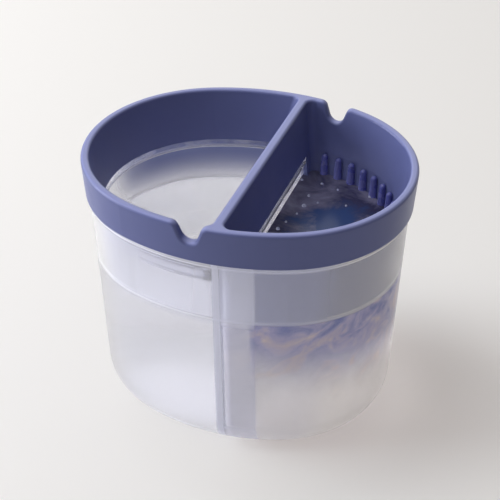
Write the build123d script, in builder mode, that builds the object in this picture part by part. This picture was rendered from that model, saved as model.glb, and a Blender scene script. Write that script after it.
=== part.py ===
from build123d import *
import os
from math import atan, atan2, cos, degrees, radians, sin, tan

# Two-chamber brush washer: a frosted tub with a moulded dividing wall, and a lift-off
# collar lid that stands on its rim and plugs into both chambers.
# Millimetres, +Z up, origin at the middle of the base, +X towards the rinse chamber.

# --- driving dimensions -----------------------------------------------------------------
length = 130.0                 # over the collar, across both chambers
width = 109.0                  # over the collar, front to back
end_radius = 52.0              # plan radius of the two ends
total_height = 108.0

band_height = 14.8             # outer face of the collar
band_inset = 1.0               # how far the collar draws in towards its foot
rim_width = 3.2                # flat top of the collar
rim_round = 1.2
bar_x = 6.1                    # middle of the dividing bar and of the tub's wall
bar_width = 3.7
corner_radius = 3.2            # plan corners where the bar meets the collar
skirt_depth = 21.2             # collar top to the foot of both skirts
skirt_wall = 1.4
clean_lean = 4.1               # how far the clean mouth narrows over the skirt's depth
rinse_lean = 2.9               # the same in the rinse mouth
slot_roof = 4.5                # collar top to the roof of the slot inside the bar
fit_gap = 0.3                  # between the plugs and the tub

notch_depth = 7.5              # brush rests in the rim
notch_radius = 3.5
notch_lean = 20.0              # degrees from upright
notch_shoulder = 2.7
notch_front_x = -3.4
notch_back_x = 20.6

apron_depth = 42.0             # collar top to the foot of the splash apron
apron_wall = 1.4
apron_gap = 0.5                # between the apron's foot and the tub
apron_front_x = 18.3           # the apron's front end, clear of the bar
apron_back_y = 41.0            # its back end, on the bar
comb_top = 33.0                # collar top to the comb's strip
comb_wall = 1.3
comb_web = 1.3                 # under the apron's foot
comb_round = 0.6
peg_top = 21.3                 # collar top to the tips of the scrubbing pegs
peg_radius = 2.05
peg_tip_radius = 1.3
peg_root = 2.6                 # how far the pegs run down beside the strip
peg_foot = 1.4                 # height of the cone that they end in
peg_stand = 0.65               # from the apron's face to the middle of a peg
peg_pitch = 6.6
pegs_in_front = 9              # of the middle one
pegs_behind = 10

seal_height = 3.8              # below the foot of the skirt
seal_grip = 1.6                # height of the lip outside the skirt
seal_gap = 0.35                # between the seals and the dividing wall
seal_inset = 4.75              # seal's outer face, from the collar's edge
seal_end_gap = 0.3             # to the end of the apron
seal_round = 0.6

tub_inset = 2.4                # tub wall under its bead, from the collar's edge
tub_draft = 3.5                # how far the wall draws in down to the base
tub_wall = 1.6
tub_floor = 2.4
tub_round = 15.0               # outer round between wall and base
wall_round = 3.0               # inner round along the dividing wall
wall_drop = 0.4                # dividing wall below the rim
bead_height = 2.2
bead_inset = 1.9
bead_round = 0.4
foot_width = 4.0
foot_recess = 0.8
near = 0.01                    # tolerance for picking edges by their place

# --- derived sizes ----------------------------------------------------------------------
seat_z = total_height - band_height
tub_taper = degrees(atan(tub_draft / seat_z))
end_x = length / 2 - end_radius
side_radius = (end_x**2 + (width / 2) ** 2 - end_radius**2) / (width - 2 * end_radius)
side_y = side_radius - width / 2
end_spread = degrees(atan2(side_y, end_x))
inner_inset = tub_inset + tub_wall
bar_left = bar_x - bar_width / 2
bar_right = bar_x + bar_width / 2
wall_left = bar_x - tub_wall / 2
wall_right = bar_x + tub_wall / 2
skirt_z = total_height - skirt_depth
apron_z = total_height - apron_depth
apron_inset = inner_inset + tub_draft * (apron_depth - band_height) / seat_z + apron_gap

seal_z = skirt_z - seal_height
comb_z = total_height - comb_top
comb_foot_z = apron_z - comb_web
peg_tip_z = total_height - peg_top
slot_left = bar_left - clean_lean * slot_roof / skirt_depth + skirt_wall
slot_right = bar_right + rinse_lean * slot_roof / skirt_depth - skirt_wall
slot_reach = width / 2 - rim_width - corner_radius

CLEAN = -1                     # side of the bar, along X
RINSE = 1


def oval(inset):
    """Plan of the washer in four tangent arcs, drawn in from the collar's edge."""
    end = end_radius - inset
    side = side_radius - inset
    side_spread = 180 - 2 * end_spread
    with BuildSketch() as plan:
        with BuildLine():
            CenterArc((end_x, 0), end, -end_spread, 2 * end_spread)
            CenterArc((0, -side_y), side, end_spread, side_spread)
            CenterArc((-end_x, 0), end, 180 - end_spread, 2 * end_spread)
            CenterArc((0, side_y), side, 180 + end_spread, side_spread)
        make_face()
    return plan.sketch


def chamber(side, inset, edge_x):
    """Plan of one chamber: the oval on one side of a straight edge, its corners rounded."""
    with BuildSketch() as plan:
        add(oval(inset))
        with Locations((edge_x + side * length / 2, 0)):
            Rectangle(length, width, mode=Mode.INTERSECT)
        on_edge = plan.vertices().filter_by_position(Axis.X, edge_x - near, edge_x + near)
        fillet(on_edge, corner_radius)
    return plan.sketch


def tapered(plan, top_z, depth, taper):
    """The solid below a plan, drawn in by its taper on the way down."""
    with BuildPart() as block:
        with BuildSketch(Plane.XY.offset(top_z)):
            add(plan)
        extrude(amount=-depth, taper=taper)
    return block.part


def funnel(side, *stations):
    """Solid whose chamber-shaped section runs straight from each station to the next.

    A station is its depth below the collar's top, its inset and the place of its edge."""
    with BuildPart() as block:
        for depth, inset, edge_x in stations:
            with BuildSketch(Plane.XY.offset(total_height - depth)):
                add(chamber(side, inset, edge_x))
        loft(ruled=True)
    return block.part


def on_the_line(depth, upper, lower):
    """The station at a depth on the straight line through two others."""
    share = (depth - upper[0]) / (lower[0] - upper[0])
    inset = upper[1] + share * (lower[1] - upper[1])
    return (depth, inset, upper[2] + share * (lower[2] - upper[2]))


def thickened(station, thickness):
    """The same station, moved in by a wall's thickness on the oval and on the edge."""
    return (station[0], station[1] + thickness, station[2] + thickness)


def notch_plan():
    """Outline of a brush rest: leaning sides that run into a round bottom."""
    lean = radians(notch_lean)
    touch_x = notch_radius * cos(lean)
    touch_y = notch_radius - notch_depth - notch_radius * sin(lean)
    mouth_x = touch_x + (notch_radius - touch_y) * tan(lean)
    with BuildSketch() as plan:
        with BuildLine():
            Line((-touch_x, touch_y), (-mouth_x, notch_radius))
            Line((-mouth_x, notch_radius), (mouth_x, notch_radius))
            Line((mouth_x, notch_radius), (touch_x, touch_y))
            ThreePointArc((touch_x, touch_y), (0, -notch_depth), (-touch_x, touch_y))
        make_face()
    return plan.sketch


def round_the_end(travel, inset):
    """Point of an inset oval, some way along it from its +X end."""
    end = end_radius - inset
    reach = end * radians(end_spread)
    if abs(travel) < reach:
        turn = abs(travel) / end
        x = end_x + end * cos(turn)
        y = end * sin(turn)
    else:
        turn = radians(end_spread) + (abs(travel) - reach) / (side_radius - inset)
        x = (side_radius - inset) * cos(turn)
        y = (side_radius - inset) * sin(turn) - side_y
    return (x, y if travel > 0 else -y)


# --- the lid's faces --------------------------------------------------------------------
# As stations: depth below the collar's top, inset on the oval, place of the edge.
clean_foot = (skirt_depth, rim_width + clean_lean, bar_left - clean_lean)
rinse_foot = (skirt_depth, rim_width + rinse_lean, bar_right + rinse_lean)
apron_foot = (apron_depth, apron_inset + apron_wall, bar_right + rinse_lean + apron_wall)
clean_seat_lean = clean_lean * band_height / skirt_depth - skirt_wall
rinse_seat_lean = rinse_lean * band_height / skirt_depth - skirt_wall
clean_seat_out = (band_height, rim_width + clean_seat_lean, bar_left - clean_seat_lean)
clean_foot_out = (skirt_depth, clean_foot[1] - skirt_wall, clean_foot[2] + skirt_wall)
rinse_seat_out = (band_height, inner_inset + fit_gap, bar_right + rinse_seat_lean)
apron_foot_out = (apron_depth, apron_inset, apron_foot[2] - apron_wall)
rinse_foot_out = on_the_line(skirt_depth, rinse_seat_out, apron_foot_out)
comb_start = on_the_line(comb_top, rinse_foot, apron_foot)
comb_start_in = thickened(comb_start, comb_wall)
comb_foot_in = thickened((apron_depth + comb_web,) + apron_foot[1:], comb_wall)
peg_inset = comb_start[1] + peg_stand

# --- tub --------------------------------------------------------------------------------
# Injection-moulded in one piece: wall, floor and dividing wall. The bead under the collar
# stiffens the rim, and the base stands on a narrow flat ring round a shallow recess.
core = tapered(oval(inner_inset), seat_z, seat_z - tub_floor, tub_taper)
core = core.fillet(tub_round - tub_wall, core.faces().sort_by(Axis.Z)[0].edges())

with BuildPart() as clean_core:
    add(split(core, Plane((wall_left, 0, 0), z_dir=(-1, 0, 0)), keep=Keep.TOP))
    flat = clean_core.faces().filter_by(Axis.X).sort_by(Axis.X)[-1]
    fillet(flat.edges().filter_by_position(Axis.Z, 0, seat_z - near), wall_round)

with BuildPart() as rinse_core:
    add(split(core, Plane((wall_right, 0, 0), z_dir=(1, 0, 0)), keep=Keep.TOP))
    flat = rinse_core.faces().filter_by(Axis.X).sort_by(Axis.X)[0]
    fillet(flat.edges().filter_by_position(Axis.Z, 0, seat_z - near), wall_round)

with BuildPart() as tub:
    add(tapered(oval(tub_inset), seat_z, seat_z, tub_taper))
    fillet(tub.faces().sort_by(Axis.Z)[0].edges(), tub_round)
    with BuildSketch(Plane.XY.offset(seat_z - bead_height)):
        add(oval(bead_inset))
    extrude(amount=bead_height)
    ledge = tub.faces().filter_by(Axis.Z).sort_by(Axis.Z)[-2]
    fillet(ledge.outer_wire().edges(), bead_round)
    add(clean_core.part, mode=Mode.SUBTRACT)
    add(rinse_core.part, mode=Mode.SUBTRACT)
    with BuildSketch(Plane.XY.offset(seat_z)):
        with Locations((bar_x, 0)):
            Rectangle(3 * tub_wall, width - 2 * inner_inset)
    extrude(amount=-wall_drop, mode=Mode.SUBTRACT)
    with BuildSketch():
        add(oval(tub_inset + tub_draft + tub_round + foot_width))
    extrude(amount=foot_recess, mode=Mode.SUBTRACT)

# --- lid --------------------------------------------------------------------------------
# The collar stands on the tub's rim. Its two mouths narrow into skirts that plug the
# chambers, and the slot between them straddles the tub's dividing wall. A splash apron
# hangs below the rinse skirt, and two brush rests are cut through the rim.
with BuildPart() as lid:
    add(funnel(CLEAN, clean_seat_out, clean_foot_out))
    add(funnel(RINSE, rinse_seat_out, apron_foot_out))
    with BuildSketch(Plane.XY.offset(skirt_z)):
        with Locations((apron_front_x, apron_back_y)):
            Rectangle(length, width, align=(Align.MAX, Align.MAX))
    extrude(amount=-apron_depth, mode=Mode.SUBTRACT)
    with BuildSketch(Plane.XY.offset(total_height)):
        add(oval(0))
    extrude(amount=-band_height, taper=degrees(atan(band_inset / band_height)))
    add(funnel(CLEAN, (0, rim_width, bar_left), clean_foot), mode=Mode.SUBTRACT)
    add(funnel(RINSE, (0, rim_width, bar_right), rinse_foot, apron_foot), mode=Mode.SUBTRACT)

    with BuildSketch(Plane.XZ):
        with BuildLine():
            Polyline(
                (clean_seat_out[2], seat_z),
                (slot_left, total_height - slot_roof),
                (slot_right, total_height - slot_roof),
                (rinse_seat_out[2], seat_z),
                close=True,
            )
        make_face()
    extrude(amount=slot_reach, both=True, mode=Mode.SUBTRACT)

    front = Plane((notch_front_x, 0, total_height), x_dir=(1, 0, 0), z_dir=(0, -1, 0))
    back = Plane((notch_back_x, 0, total_height), x_dir=(-1, 0, 0), z_dir=(0, 1, 0))
    for rest in (front, back):
        with BuildSketch(rest):
            add(notch_plan())
        extrude(amount=width, mode=Mode.SUBTRACT)
    at_rim = lid.edges().filter_by_position(Axis.Z, total_height - near, total_height)
    shoulders = [edge for edge in at_rim.filter_by(Axis.Y) if edge.length < 2 * rim_width]
    fillet(shoulders, notch_shoulder)

    above_rests = lid.edges().filter_by_position(Axis.Z, total_height - notch_depth, total_height)
    rounded = above_rests.filter_by(GeomType.LINE, reverse=True)
    rounded = rounded.filter_by(GeomType.BEZIER, reverse=True)
    along_bar = above_rests.filter_by(Axis.Y).group_by(Axis.Z)[-1]
    rounded += [edge for edge in along_bar if edge.length > width / 2]
    fillet(rounded, rim_round)

# --- seals ------------------------------------------------------------------------------
# Clear silicone, pressed onto the feet of the skirts: a closed ring round the clean mouth
# and a strip along the bar's foot in the rinse mouth.
with BuildPart() as clean_seal:
    with BuildSketch(Plane.XY.offset(seal_z)):
        add(chamber(CLEAN, seal_inset, wall_left - seal_gap))
    extrude(amount=seal_height + seal_grip)
    with BuildSketch(Plane.XY.offset(seal_z)):
        add(chamber(CLEAN, clean_foot[1], clean_foot[2]))
    extrude(amount=seal_height, mode=Mode.SUBTRACT)
    fillet(clean_seal.faces().sort_by(Axis.Z)[0].edges(), seal_round)
    add(funnel(CLEAN, clean_seat_out, clean_foot_out), mode=Mode.SUBTRACT)

with BuildPart() as rinse_seal:
    with BuildSketch(Plane.XY.offset(seal_z)):
        add(chamber(RINSE, seal_inset, wall_right + seal_gap))
    extrude(amount=seal_height + seal_grip)
    with BuildSketch(Plane.XY.offset(seal_z)):
        add(chamber(RINSE, rinse_foot[1], rinse_foot[2]))
    extrude(amount=seal_height, mode=Mode.SUBTRACT)
    fillet(rinse_seal.faces().sort_by(Axis.Z)[0].edges(), seal_round)
    add(funnel(RINSE, rinse_seat_out, rinse_foot_out), mode=Mode.SUBTRACT)
    with BuildSketch(Plane.XY.offset(seal_z)):
        with Locations((apron_front_x - seal_end_gap, apron_back_y - seal_end_gap)):
            Rectangle(length, width, align=(Align.MAX, Align.MAX))
    extrude(amount=seal_height + seal_grip, mode=Mode.INTERSECT)

# --- scrub comb -------------------------------------------------------------------------
# Soft moulding on the apron: a strip on its inner face that folds under its foot, with a
# row of domed pegs on it that taper upwards along the apron's face.
with BuildPart() as peg:
    with BuildSketch(Plane.XZ):
        with BuildLine():
            Polyline(
                (0, peg_tip_z - peg_tip_radius),
                (0, comb_z - peg_root - peg_foot),
                (peg_stand, comb_z - peg_root - peg_foot),
                (peg_radius, comb_z - peg_root),
                (peg_tip_radius, peg_tip_z - peg_tip_radius),
                close=True,
            )
        make_face()
    revolve(axis=Axis.Z)
    with Locations((0, 0, peg_tip_z - peg_tip_radius)):
        Sphere(peg_tip_radius)

with BuildPart() as pegs:
    for place in range(-pegs_in_front, pegs_behind + 1):
        with Locations(round_the_end(place * peg_pitch, peg_inset)):
            add(peg.part)
    add(funnel(RINSE, (0, rim_width, bar_right), rinse_foot, apron_foot), mode=Mode.INTERSECT)

with BuildPart() as scrub_comb:
    with BuildSketch(Plane.XY.offset(comb_foot_z)):
        add(chamber(RINSE, apron_inset, apron_foot_out[2]))
    extrude(amount=comb_web)
    fillet(scrub_comb.faces().sort_by(Axis.Z)[0].edges(), comb_round)
    add(funnel(RINSE, rinse_foot, apron_foot))
    add(funnel(RINSE, comb_start_in, comb_foot_in), mode=Mode.SUBTRACT)
    with BuildSketch(Plane.XY.offset(comb_z)):
        Rectangle(2 * length, width)
    extrude(amount=comb_top, mode=Mode.SUBTRACT)
    with BuildSketch(Plane.XY.offset(comb_foot_z)):
        with Locations((apron_front_x, apron_back_y)):
            Rectangle(length, width, align=(Align.MAX, Align.MAX))
    extrude(amount=comb_top, mode=Mode.SUBTRACT)
    add(pegs.part)

os.makedirs("parts", exist_ok=True)
tub.part.label = "tub"
export_step(tub.part, "parts/tub.step")
lid.part.label = "lid"
export_step(lid.part, "parts/lid.step")
clean_seal.part.label = "clean_seal"
export_step(clean_seal.part, "parts/clean_seal.step")
rinse_seal.part.label = "rinse_seal"
export_step(rinse_seal.part, "parts/rinse_seal.step")
scrub_comb.part.label = "scrub_comb"
export_step(scrub_comb.part, "parts/scrub_comb.step")
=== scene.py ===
from math import radians

import bmesh
import bpy
from mathutils import Matrix, Vector


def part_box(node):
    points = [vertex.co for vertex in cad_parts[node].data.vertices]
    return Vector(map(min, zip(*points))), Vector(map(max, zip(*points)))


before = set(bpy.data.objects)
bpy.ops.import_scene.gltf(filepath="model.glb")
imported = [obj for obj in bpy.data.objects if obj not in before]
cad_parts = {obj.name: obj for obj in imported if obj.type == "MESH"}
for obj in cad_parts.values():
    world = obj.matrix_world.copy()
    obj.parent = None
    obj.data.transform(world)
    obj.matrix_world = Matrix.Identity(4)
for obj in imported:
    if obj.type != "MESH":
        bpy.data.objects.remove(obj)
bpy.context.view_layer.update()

bpy.ops.object.select_all(action="DESELECT")

# --- tub --------------------------------------------------------------------------------
# One injection moulding in natural polypropylene: a thin, milky wall with a bead under its
# rim and a dividing wall moulded in. It carries the collar, and holds clean water on the
# left of the dividing wall and used water on the right.
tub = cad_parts["tub"]
tub_low, tub_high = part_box("tub")
# Lengths are in metres, except in the stops of bands and where a name says otherwise.
wall_x = 0.0061                # middle of the dividing wall
frost_grain = 0.00111          # the real frost is under 0.1 mm: drawn coarse enough to show
flow_width = 0.0143            # of the marks that the melt leaves in the wall
flow_squash = 0.12             # draws them out upwards, to about eight times their width
flow_milk = 0.06               # how much they cloud the wall


def linear(hex_colour):
    """A colour written as sRGB hex, turned to the linear values that shaders take."""
    shown = [int(hex_colour[place:place + 2], 16) / 255 for place in (1, 3, 5)]
    return [c / 12.92 if c <= 0.04045 else ((c + 0.055) / 1.055) ** 2.4 for c in shown] + [1.0]


def add_node(tree, kind, inputs=None, stops=None, **settings):
    """Adds a node with its settings, links or sets its inputs, and places a ramp's stops."""
    node = tree.nodes.new(kind)
    for name, value in settings.items():
        setattr(node, name, value)
    for name, value in (inputs or {}).items():
        if isinstance(value, bpy.types.NodeSocket):
            tree.links.new(value, node.inputs[name])
        else:
            node.inputs[name].default_value = value
    if stops:
        first, *between, last = stops
        elements = node.color_ramp.elements
        elements[0].position, elements[0].color = first
        elements[1].position, elements[1].color = last
        for position, colour in between:
            elements.new(position).color = colour
    return node


def new_material(name):
    """A material without nodes yet, and its node tree."""
    material = bpy.data.materials.new(name)
    material.use_nodes = True
    material.node_tree.nodes.clear()
    return material, material.node_tree


def bands(tree, source, low, high, *stops):
    """Grey bands between two places on a piece, each stop in millimetres from the low one."""
    along = add_node(tree, "ShaderNodeMapRange", {"Value": source, "From Min": low, "From Max": high})
    greys = [(mm / 1000 / (high - low), (value, value, value, 1.0)) for mm, value in stops]
    return add_node(tree, "ShaderNodeValToRGB", {"Fac": along.outputs["Result"]}, greys)


def dress(piece, material):
    """Gives a piece one material for all its faces."""
    piece.data.materials.clear()
    piece.data.materials.append(material)


# Frosted polypropylene, moulded: most of the light bends through the wall, slightly blurred,
# and the rest glows in the milky plastic.
frosted, tree = new_material("moulded_frosted_polypropylene")
place = add_node(tree, "ShaderNodeTexCoord").outputs["Object"]
grain = add_node(tree, "ShaderNodeTexNoise", {"Vector": place, "Scale": 1 / frost_grain, "Detail": 2.0})
bump = add_node(tree, "ShaderNodeBump", {
    "Height": grain.outputs["Fac"], "Strength": 0.08, "Distance": 0.0002})
axes = add_node(tree, "ShaderNodeSeparateXYZ", {"Vector": place})

# How much of the light goes straight through at each height, in millimetres: the floor is thick, the
# wetted wall looks clear, the tide line is chalky, the dry wall is milkier, and along both edges of the
# bead the wall is milkier still, as painted highlights.
floor_clear, wet_clear, tide_clear, dry_clear = 0.65, 0.98, 0.55, 0.84
bead_clear, bead_edge_highlight, rim_clear = 0.6, 0.2, 0.25
clarity = bands(tree, axes.outputs["Z"], 0.0, tub_high.z, (0.0, floor_clear), (2.8, floor_clear),
                (15.8, wet_clear), (66.4, wet_clear), (66.7, tide_clear), (67.3, tide_clear),
                (67.85, dry_clear), (90.2, dry_clear), (90.8, bead_edge_highlight), (91.3, bead_edge_highlight),
                (91.7, bead_clear), (92.6, bead_clear), (93.2, rim_clear))

# The dividing wall meets the front wall in a thick milky seam. Beside it, over the used water, the front
# wall is made milky and lilac as painted shade for the dividing wall's face seen through it, and thinly
# hazed elsewhere. Places are in millimetres to the right of the washer's middle.
mist_end = 0.030
haze, clean_haze, mist, seam = 0.16, 0.09, 0.5, 0.8
seam_band = bands(tree, axes.outputs["X"], 0.0, mist_end, (0.0, 0.0), (4.05, 0.0), (4.65, seam),
                  (6.75, seam), (7.2, 0.0), (30.0, 0.0))
mist_band = bands(tree, axes.outputs["X"], 0.0, mist_end, (0.0, clean_haze), (6.75, clean_haze),
                  (7.2, mist), (19.2, mist), (19.95, haze), (30.0, haze))
above_water = add_node(tree, "ShaderNodeMapRange", {
    "Value": axes.outputs["Z"], "From Min": 0.0635, "From Max": 0.0665, "To Min": 0.4},
    interpolation_type="SMOOTHSTEP")
misted_above_water = add_node(tree, "ShaderNodeMath", {
    0: mist_band.outputs["Color"], 1: above_water.outputs["Result"]}, operation="MULTIPLY")
in_front = add_node(tree, "ShaderNodeMapRange", {
    "Value": axes.outputs["Y"], "From Min": -0.032, "From Max": -0.042},
    interpolation_type="SMOOTHSTEP")
marked = add_node(tree, "ShaderNodeMath", {
    0: seam_band.outputs["Color"], 1: misted_above_water.outputs["Value"]}, operation="MAXIMUM")
marks = add_node(tree, "ShaderNodeMath", {
    0: marked.outputs["Value"], 1: in_front.outputs["Result"]}, operation="MULTIPLY")

# Painted shade and reflection: the far wall's inner face is tinted the collar's blue and made milkier,
# most under the collar.
painted_shade_milk = 0.45
far_side = add_node(tree, "ShaderNodeMapRange", {
    "Value": axes.outputs["Y"], "From Min": -0.014, "From Max": 0.030},
    interpolation_type="SMOOTHSTEP")
under_collar = add_node(tree, "ShaderNodeMapRange", {
    "Value": axes.outputs["Z"], "From Min": 0.060, "From Max": 0.080},
    interpolation_type="SMOOTHSTEP")
surface = add_node(tree, "ShaderNodeNewGeometry")
facing = add_node(tree, "ShaderNodeSeparateXYZ", {"Vector": surface.outputs["Normal"]})
faces_front = add_node(tree, "ShaderNodeMapRange", {
    "Value": facing.outputs["Y"], "From Min": 0.0, "From Max": -0.35})
inner_face = add_node(tree, "ShaderNodeMath", {
    0: far_side.outputs["Result"], 1: faces_front.outputs["Result"]}, operation="MULTIPLY")
painted_collar_shade = add_node(tree, "ShaderNodeMath", {
    0: inner_face.outputs["Value"], 1: under_collar.outputs["Result"]}, operation="MULTIPLY")

# Slow flow marks are drawn out upwards from the gate in the floor.
stretched = add_node(tree, "ShaderNodeMapping", {"Vector": place, "Scale": (1.0, 1.0, flow_squash)})
flow = add_node(tree, "ShaderNodeTexNoise", {
    "Vector": stretched.outputs["Vector"], "Scale": 1 / flow_width, "Detail": 2.0})
marks_and_flow = add_node(tree, "ShaderNodeMath", {
    0: flow.outputs["Fac"], 1: flow_milk, 2: marks.outputs["Value"]}, operation="MULTIPLY_ADD")
veil = add_node(tree, "ShaderNodeMath", {
    0: painted_collar_shade.outputs["Value"], 1: painted_shade_milk, 2: marks_and_flow.outputs["Value"]},
    operation="MULTIPLY_ADD", use_clamp=True)
unveiled = add_node(tree, "ShaderNodeMath", {0: 1.0, 1: veil.outputs["Value"]}, operation="SUBTRACT")
through = add_node(tree, "ShaderNodeMath", {
    0: clarity.outputs["Color"], 1: unveiled.outputs["Value"]}, operation="MULTIPLY")

colour_a, colour_b, mixed = 6, 7, 2    # the Mix node's sockets for colours
# Painted shade and reflection: the wall turns blue-grey where the collar's shade is painted.
tint = add_node(tree, "ShaderNodeMix", {
    "Factor": painted_collar_shade.outputs["Value"], colour_a: linear("#FCFCFE"), colour_b: linear("#7880AC")},
    data_type="RGBA")
# Painted shade: the seam and the strip beside it turn lilac.
lilac = add_node(tree, "ShaderNodeMapRange", {"Value": marks.outputs["Value"], "From Max": haze})
shade = add_node(tree, "ShaderNodeMix", {
    "Factor": lilac.outputs["Result"], colour_a: tint.outputs[mixed], colour_b: linear("#E2E5F9")},
    data_type="RGBA")
milky = add_node(tree, "ShaderNodeBsdfPrincipled", {
    "Base Color": shade.outputs[mixed], "Normal": bump.outputs["Normal"],
    "Transmission Weight": through.outputs["Value"], "Roughness": 0.26, "IOR": 1.4})

# Lamps and soft light from the room cross the thin wall as if it weren't bent, so that the
# washer's inside and the table behind it stay bright.
lit = add_node(tree, "ShaderNodeBsdfTransparent", {"Color": linear("#FEFEFF")})
rays = add_node(tree, "ShaderNodeLightPath")
lighting = add_node(tree, "ShaderNodeMath", {
    0: rays.outputs["Is Shadow Ray"], 1: rays.outputs["Is Diffuse Ray"]}, operation="MAXIMUM")
wall = add_node(tree, "ShaderNodeMixShader", {
    0: lighting.outputs["Value"], 1: milky.outputs["BSDF"], 2: lit.outputs["BSDF"]})
add_node(tree, "ShaderNodeOutputMaterial", {"Surface": wall.outputs["Shader"]})
dress(tub, frosted)

# --- lid --------------------------------------------------------------------------------
# The collar, one moulding in polypropylene coloured dusty blue-violet all through. It
# stands on the tub's rim and lifts straight off.
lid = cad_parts["lid"]
satin_grain = 0.000714         # the real grain is 0.05 mm: drawn coarse enough to show
polish_width = 0.0167          # of the patches that polishing leaves on the mould
satin_rough = 0.36
best_polish, worst_polish = -0.05, 0.07    # what those patches take off or add

# Satin polypropylene, moulded against a spark-eroded tool: a fine grain, a soft sheen that wanders a
# little, and a paler blue on the tops, which is painted light.
blue, tree = new_material("moulded_blue_polypropylene")
place = add_node(tree, "ShaderNodeTexCoord").outputs["Object"]
grain = add_node(tree, "ShaderNodeTexNoise", {"Vector": place, "Scale": 1 / satin_grain, "Detail": 2.0})
bump = add_node(tree, "ShaderNodeBump", {
    "Height": grain.outputs["Fac"], "Strength": 0.16, "Distance": 0.0001})
polish = add_node(tree, "ShaderNodeTexNoise", {
    "Vector": place, "Scale": 1 / polish_width, "Detail": 3.0})
sheen = add_node(tree, "ShaderNodeMapRange", {
    "Value": polish.outputs["Fac"], "From Min": 0.3, "From Max": 0.7,
    "To Min": satin_rough + best_polish, "To Max": satin_rough + worst_polish})
surface = add_node(tree, "ShaderNodeNewGeometry")
facing = add_node(tree, "ShaderNodeSeparateXYZ", {"Vector": surface.outputs["Normal"]})
# Painted light: faces that point upwards get a paler blue.
painted_top_light = add_node(tree, "ShaderNodeMapRange", {
    "Value": facing.outputs["Z"], "From Min": 0.45, "From Max": 1.0},
    interpolation_type="SMOOTHSTEP")
painted_light_on_tops = add_node(tree, "ShaderNodeMix", {
    "Factor": painted_top_light.outputs["Result"], colour_a: linear("#5A6190"), colour_b: linear("#858CBE")},
    data_type="RGBA")
shell = add_node(tree, "ShaderNodeBsdfPrincipled", {
    "Base Color": painted_light_on_tops.outputs[mixed], "Roughness": sheen.outputs["Result"],
    "Normal": bump.outputs["Normal"], "Specular IOR Level": 0.4,
    "Specular Tint": linear("#D6D9F4")})
add_node(tree, "ShaderNodeOutputMaterial", {"Surface": shell.outputs["BSDF"]})
dress(lid, blue)

# --- seals ------------------------------------------------------------------------------
# Two clear silicone strips, moulded on their own and pressed onto the feet of the skirts:
# a ring round the clean mouth, and a straight one along the bar in the rinse mouth.
low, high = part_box("clean_seal")
streak_width = 0.00625         # of the painted wet glints

# Moulded silicone, glossy and nearly clear. Its two lips are made milky as painted highlights, and
# between them broken milky streaks are painted wet glints.
silicone, tree = new_material("moulded_clear_silicone")
place = add_node(tree, "ShaderNodeTexCoord").outputs["Object"]
axes = add_node(tree, "ShaderNodeSeparateXYZ", {"Vector": place})
lower_lip, upper_lip = 0.7, 0.8
# Painted highlights: milky bands along both lips, and milky streaks for wet glints.
lip_highlights = bands(tree, axes.outputs["Z"], low.z, high.z, (0.0, lower_lip), (0.65, lower_lip),
             (0.97, 0.0), (4.54, 0.0), (4.86, upper_lip), (5.4, upper_lip))
streaks = add_node(tree, "ShaderNodeTexNoise", {
    "Vector": place, "Scale": 1 / streak_width, "Detail": 2.0, "Distortion": 0.6})
wet_glints = add_node(tree, "ShaderNodeMapRange", {
    "Value": streaks.outputs["Fac"], "From Min": 0.52, "From Max": 0.66, "To Max": 0.4})
painted_highlights = add_node(tree, "ShaderNodeMath", {
    0: lip_highlights.outputs["Color"], 1: wet_glints.outputs["Result"]}, operation="MAXIMUM")
clear = add_node(tree, "ShaderNodeMapRange", {
    "Value": painted_highlights.outputs["Value"], "To Min": 0.97, "To Max": 0.45})
strip = add_node(tree, "ShaderNodeBsdfPrincipled", {
    "Base Color": linear("#F2F3FC"), "Transmission Weight": clear.outputs["Result"],
    "Roughness": 0.1, "IOR": 1.41})
add_node(tree, "ShaderNodeOutputMaterial", {"Surface": strip.outputs["BSDF"]})
for name in ("clean_seal", "rinse_seal"):
    dress(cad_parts[name], silicone)

# --- scrub comb -------------------------------------------------------------------------
# A soft strip with a row of pegs that brushes are drawn over, moulded in thermoplastic
# elastomer onto the collar's splash apron.
rubber_grain = 0.00143         # the real grain is 0.1 mm: drawn coarse enough to show
damp_width = 0.00455           # of the patches that stay damp

# Moulded elastomer, a darker and more violet blue than the collar: matt, with light lying
# softly along its edges and a shine where it is damp.
elastomer, tree = new_material("moulded_soft_elastomer")
place = add_node(tree, "ShaderNodeTexCoord").outputs["Object"]
grain = add_node(tree, "ShaderNodeTexNoise", {"Vector": place, "Scale": 1 / rubber_grain, "Detail": 3.0})
bump = add_node(tree, "ShaderNodeBump", {
    "Height": grain.outputs["Fac"], "Strength": 0.2, "Distance": 0.0001})
damp = add_node(tree, "ShaderNodeTexNoise", {"Vector": place, "Scale": 1 / damp_width})
shine = add_node(tree, "ShaderNodeMapRange", {
    "Value": damp.outputs["Fac"], "From Min": 0.4, "From Max": 0.6, "To Min": 0.22, "To Max": 0.5})
rubber = add_node(tree, "ShaderNodeBsdfPrincipled", {
    "Base Color": linear("#50549A"), "Roughness": shine.outputs["Result"],
    "Normal": bump.outputs["Normal"], "Sheen Weight": 0.3, "Sheen Tint": linear("#9EA4E6")})
add_node(tree, "ShaderNodeOutputMaterial", {"Surface": rubber.outputs["BSDF"]})
dress(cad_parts["scrub_comb"], elastomer)

# --- water ------------------------------------------------------------------------------
# What the washer is filled with, so no part of it: clean water on the left and used water
# on the right, each shaped by the tub's own faces. The used water stands higher inside the
# comb than against the tub's wall.
clean_middle_x = -0.025        # a place well inside each chamber
rinse_middle_x = 0.035
clean_level = 0.067
rinse_level = 0.0663           # against the tub's wall
comb_level = 0.0775            # inside the comb
lap = 0.0001                   # the raised block starts just below the level that it stands on
into_wall = 0.0002             # the water reaches into the wall, so no film of air is left
inside_comb = 0.0025           # the raised block keeps this far from the tub's wall
merge_distance = 0.00001
smooth_below = radians(30)     # edges sharper than this stay crisp
tub_middle_z = (tub_low.z + tub_high.z) / 2


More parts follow.
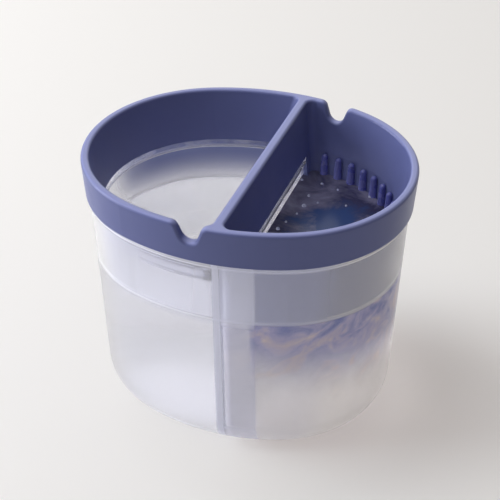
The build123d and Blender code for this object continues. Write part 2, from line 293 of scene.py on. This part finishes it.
def pour(name, middle_x, swell, level, foot=None):
    """Fills one chamber of the tub up to a level, from its floor or from a foot above it."""
    water = bpy.data.objects.new(name, tub.data.copy())
    bpy.context.scene.collection.objects.link(water)
    bpy.ops.object.select_all(action="DESELECT")
    water.select_set(True)
    bpy.context.view_layer.objects.active = water
    bpy.ops.mesh.customdata_custom_splitnormals_clear()
    bpy.ops.object.mode_set(mode="EDIT")
    bpy.ops.mesh.select_all(action="SELECT")
    bpy.ops.mesh.remove_doubles(threshold=merge_distance)
    bpy.ops.mesh.select_all(action="DESELECT")
    bpy.ops.mesh.select_mode(type="FACE")
    middle = Vector((middle_x, 0, tub_middle_z))
    mesh = bmesh.from_edit_mesh(water.data)
    for face in mesh.faces:
        centre = face.calc_center_median()
        same_side = (centre.x - wall_x) * (middle_x - wall_x) > 0
        inside = face.normal.dot(middle - centre) > 0
        face.select = not (same_side and inside)
    bmesh.update_edit_mesh(water.data)
    bpy.ops.mesh.delete(type="FACE")
    bpy.ops.mesh.select_all(action="SELECT")
    bpy.ops.transform.shrink_fatten(value=-swell)
    bpy.ops.mesh.select_all(action="SELECT")
    bpy.ops.mesh.bisect(plane_co=(0, 0, level), plane_no=(0, 0, 1), clear_outer=True, use_fill=True)
    if foot:
        bpy.ops.mesh.select_all(action="SELECT")
        bpy.ops.mesh.bisect(plane_co=(0, 0, foot), plane_no=(0, 0, 1), clear_inner=True, use_fill=True)
    bpy.ops.mesh.select_all(action="SELECT")
    bpy.ops.mesh.normals_make_consistent(inside=False)
    bpy.ops.mesh.select_all(action="DESELECT")
    bpy.ops.object.mode_set(mode="OBJECT")
    bpy.ops.object.shade_smooth_by_angle(angle=smooth_below)
    return water


clean_water = pour("clean_water", clean_middle_x, into_wall, clean_level)
rinse_water = pour("rinse_water", rinse_middle_x, into_wall, rinse_level)
rinse_top = pour("rinse_top", rinse_middle_x, -inside_comb, comb_level, rinse_level - lap)
# The room's soft light passes all of the water by. The lamps' light passes all but the cloudy
# used water, which shades what is behind it.
for water in (clean_water, rinse_water, rinse_top):
    water.visible_diffuse = False
for water in (clean_water, rinse_top):
    water.visible_shadow = False

# Tap water is clear: the eye sees only how it bends and mirrors what is round it.
clear_water, tree = new_material("clean_tap_water")
body = add_node(tree, "ShaderNodeBsdfPrincipled", {
    "Base Color": linear("#F9FAFD"), "Roughness": 0.0, "IOR": 1.33, "Transmission Weight": 1.0})
add_node(tree, "ShaderNodeOutputMaterial", {"Surface": body.outputs["BSDF"]})
dress(clean_water, clear_water)

# Used water is cloudy near its top, where the blue and a little umber still drift in slanting
# trails. It clears towards the floor, which the pigment has not sunk to yet.
trail_width = 0.00833          # as pigment drifts from a rinsed brush
trail_slant = radians(-35)
trail_length = 2.0             # along the slant, in trail widths
trail_depth = 1.4              # from front to back, in trail widths
cloud_tilt = 0.2               # the cloud hangs lower on the right
ragged = 0.026                 # how far its lower edge wanders
used_water, tree = new_material("used_rinse_water")
place = add_node(tree, "ShaderNodeTexCoord").outputs["Object"]
axes = add_node(tree, "ShaderNodeSeparateXYZ", {"Vector": place})
slant = add_node(tree, "ShaderNodeMapping", {
    "Vector": place, "Rotation": (0.0, trail_slant, 0.0), "Scale": (trail_length, trail_depth, 1.0)},
    vector_type="TEXTURE")
drift = add_node(tree, "ShaderNodeTexNoise", {
    "Vector": slant.outputs["Vector"], "Scale": 1 / trail_width, "Detail": 6.0,
    "Roughness": 0.62, "Distortion": 1.0})
tilt = add_node(tree, "ShaderNodeMath", {
    0: axes.outputs["X"], 1: cloud_tilt, 2: axes.outputs["Z"]}, operation="MULTIPLY_ADD")
sink = add_node(tree, "ShaderNodeMath", {
    0: drift.outputs["Fac"], 1: ragged, 2: tilt.outputs["Value"]}, operation="MULTIPLY_ADD")
depth = add_node(tree, "ShaderNodeMapRange", {
    "Value": sink.outputs["Value"], "From Min": 0.046, "From Max": 0.078},
    interpolation_type="SMOOTHSTEP")
off_wall = add_node(tree, "ShaderNodeMapRange", {
    "Value": axes.outputs["X"], "From Min": 0.0165, "From Max": 0.0185, "To Min": 0.35},
    interpolation_type="SMOOTHSTEP")
cloud = add_node(tree, "ShaderNodeMath", {
    0: depth.outputs["Result"], 1: off_wall.outputs["Result"]}, operation="MULTIPLY")
clear = add_node(tree, "ShaderNodeMapRange", {
    "Value": cloud.outputs["Value"], "To Min": 0.70, "To Max": 0.15})
pigment = add_node(tree, "ShaderNodeValToRGB", {"Fac": drift.outputs["Fac"]}, stops=[
    (0.36, linear("#626CB0")), (0.5, linear("#A09DC8")), (0.66, linear("#CFBBBE"))])
tint = add_node(tree, "ShaderNodeMix", {
    "Factor": cloud.outputs["Value"], colour_a: linear("#FDFAF5"), colour_b: pigment.outputs["Color"]},
    data_type="RGBA")
body = add_node(tree, "ShaderNodeBsdfPrincipled", {
    "Base Color": tint.outputs[mixed], "Transmission Weight": clear.outputs["Result"],
    "Roughness": 0.02, "IOR": 1.33})
lit = add_node(tree, "ShaderNodeBsdfTransparent", {"Color": linear("#E7E2DF")})
rays = add_node(tree, "ShaderNodeLightPath")
shaded = add_node(tree, "ShaderNodeMixShader", {
    0: rays.outputs["Is Shadow Ray"], 1: body.outputs["BSDF"], 2: lit.outputs["BSDF"]})
add_node(tree, "ShaderNodeOutputMaterial", {"Surface": shaded.outputs["Shader"]})
dress(rinse_water, used_water)
dress(rinse_top, used_water)

# Seen from above, the used water's top is dark and shiny: umber-grey swirls of pigment, darkened further
# as painted shade for the deep cloudy water, with one blue bloom near the front.
swirl_width = 0.0182           # about as wide as a brush stirs
bloom_place = (0.0286, 0.0096, comb_level)
bloom_edge = 0.05              # how far the bloom's edge wanders
faces_up = 0.9
film, tree = new_material("pigment_on_the_rinse_water")
place = add_node(tree, "ShaderNodeTexCoord").outputs["Object"]
swirl = add_node(tree, "ShaderNodeTexNoise", {
    "Vector": place, "Scale": 1 / swirl_width, "Detail": 7.0, "Roughness": 0.6, "Distortion": 0.5})
# Pigment colours, darkened as painted shade for the deep water beneath.
umber = add_node(tree, "ShaderNodeValToRGB", {"Fac": swirl.outputs["Fac"]}, stops=[
    (0.38, linear("#3A3956")), (0.64, linear("#807F99"))])
away = add_node(tree, "ShaderNodeVectorMath", {0: place, 1: bloom_place}, operation="DISTANCE")
reach = add_node(tree, "ShaderNodeMath", {
    0: swirl.outputs["Fac"], 1: bloom_edge, 2: away.outputs["Value"]}, operation="MULTIPLY_ADD")
bloom = add_node(tree, "ShaderNodeMapRange", {
    "Value": reach.outputs["Value"], "From Min": 0.040, "From Max": 0.029},
    interpolation_type="SMOOTHSTEP")
tint = add_node(tree, "ShaderNodeMix", {
    "Factor": bloom.outputs["Result"], colour_a: umber.outputs["Color"], colour_b: linear("#34497A")},
    data_type="RGBA")
skin = add_node(tree, "ShaderNodeBsdfPrincipled", {
    "Base Color": tint.outputs[mixed], "Roughness": 0.2, "IOR": 1.33, "Specular IOR Level": 0.3})
add_node(tree, "ShaderNodeOutputMaterial", {"Surface": skin.outputs["BSDF"]})
rinse_top.data.materials.append(film)
for face in rinse_top.data.polygons:
    if face.normal.z > faces_up:
        face.material_index = 1

# A few bubbles float on it where a brush has stirred it: thin, pale, glossy skins of water.
foam, tree = new_material("air_bubble_film")
skin = add_node(tree, "ShaderNodeBsdfPrincipled", {
    "Base Color": linear("#C4C8E2"), "Roughness": 0.06, "IOR": 1.33, "Transmission Weight": 0.35})
add_node(tree, "ShaderNodeOutputMaterial", {"Surface": skin.outputs["BSDF"]})
bubble_z = comb_level + 0.0001
bubbles_mm = (                 # how far to the right, how far to the back, and radius
    (17.3, 18.0, 0.9), (12.7, -1.4, 0.8), (16.4, 11.4, 0.5), (16.9, 25.9, 0.6), (21.9, 22.0, 0.5),
    (14.1, 4.4, 0.5), (39.9, 8.4, 0.6), (33.2, 23.7, 0.5), (40.5, 33.5, 0.7), (46.2, 29.1, 0.6),
    (26.7, 34.3, 0.5), (19.2, 36.6, 0.6), (10.5, 36.9, 0.6))
for number, (x, y, radius) in enumerate(bubbles_mm, start=1):
    bpy.ops.mesh.primitive_uv_sphere_add(segments=20, ring_count=12, radius=radius / 1000,
                                         location=(x / 1000, y / 1000, bubble_z))
    bubble = bpy.context.object
    bubble.name = f"bubble_{number}"
    bpy.ops.object.transform_apply(location=True)
    bpy.ops.object.shade_smooth()
    dress(bubble, foam)

# --- table ------------------------------------------------------------------------------
# What the washer stands on: a plain board in matt pale paint, which shows only shadows, and
# so wide that no edge comes into view.
table_size = 8.0
bpy.ops.mesh.primitive_plane_add(size=table_size, location=(0, 0, 0))
table = bpy.context.object
table.name = "table"
paint, tree = new_material("pale_painted_table")
coat = add_node(tree, "ShaderNodeBsdfPrincipled", {"Base Color": linear("#F4F3F1"), "Roughness": 0.8})
add_node(tree, "ShaderNodeOutputMaterial", {"Surface": coat.outputs["BSDF"]})
dress(table, paint)

# --- light ------------------------------------------------------------------------------
# An even pale room lights the washer weakly from all sides. The eye, mirrors and clear
# pieces see a white backdrop in its place.
room_strength = 0.20
world = bpy.data.worlds.new("pale_room")
bpy.context.scene.world = world
world.use_nodes = True
tree = world.node_tree
room = tree.nodes["Background"]
room.inputs["Color"].default_value = linear("#F7ECE1")
room.inputs["Strength"].default_value = room_strength
backdrop = add_node(tree, "ShaderNodeBackground", {"Color": linear("#F6F5F3")})
rays = add_node(tree, "ShaderNodeLightPath")
mirrored = add_node(tree, "ShaderNodeMath", {
    0: rays.outputs["Is Glossy Ray"], 1: rays.outputs["Is Transmission Ray"]}, operation="MAXIMUM")
seen = add_node(tree, "ShaderNodeMath", {
    0: rays.outputs["Is Camera Ray"], 1: mirrored.outputs["Value"]}, operation="MAXIMUM")
sky = add_node(tree, "ShaderNodeMixShader", {
    0: seen.outputs["Value"], 1: room.outputs["Background"], 2: backdrop.outputs["Background"]})
tree.links.new(sky.outputs["Shader"], tree.nodes["World Output"].inputs["Surface"])

washer_middle = Vector((0, 0, 0.054))


def soft_lamp(name, place, size, power, colour):
    """A square area lamp that faces the washer's middle."""
    bpy.ops.object.light_add(type="AREA", location=place)
    lamp = bpy.context.object
    lamp.name = name
    lamp.data.shape = "SQUARE"
    lamp.data.size = size
    lamp.data.energy = power
    lamp.data.color = linear(colour)[:3]
    lamp.rotation_euler = (washer_middle - Vector(place)).to_track_quat("-Z", "Y").to_euler()


# The lamp high on the left gives the shadow, and the low one there lights the tub's wall.
# The wide one overhead fills both mouths, and the weak one behind edges the rims.
soft_lamp("window", (-0.85, -0.15, 1.95), 1.2, 15.5, "#FBFCFF")
soft_lamp("left", (-1.47, -0.34, 0.55), 1.0, 25.0, "#FBFCFF")
soft_lamp("ceiling", (-0.20, 0.30, 2.2), 2.4, 5.5, "#FBFCFF")
soft_lamp("back", (-0.45, 1.4, 1.0), 1.2, 4.5, "#FFFDFA")

# --- camera -----------------------------------------------------------------------------
# Above and in front, a little to the right of the washer, as someone who paints sees it,
# but with a long lens that keeps the tub's wall nearly upright.
camera_place = Vector((0.1338, -0.3783, 0.3403))
camera_aim = Vector((0.0023, -0.0047, 0.0673))
camera_roll = radians(0.14)
camera_lens = 87.6             # in millimetres, on a sensor 36 mm wide
bpy.ops.object.camera_add(location=camera_place)
camera = bpy.context.object
camera.data.lens = camera_lens
camera.data.sensor_width = 36.0
turn = (camera_aim - camera_place).to_track_quat("-Z", "Y")
camera.rotation_euler = (turn.to_matrix() @ Matrix.Rotation(camera_roll, 3, "Z")).to_euler()
bpy.context.scene.camera = camera
bpy.context.scene.view_settings.view_transform = "Standard"
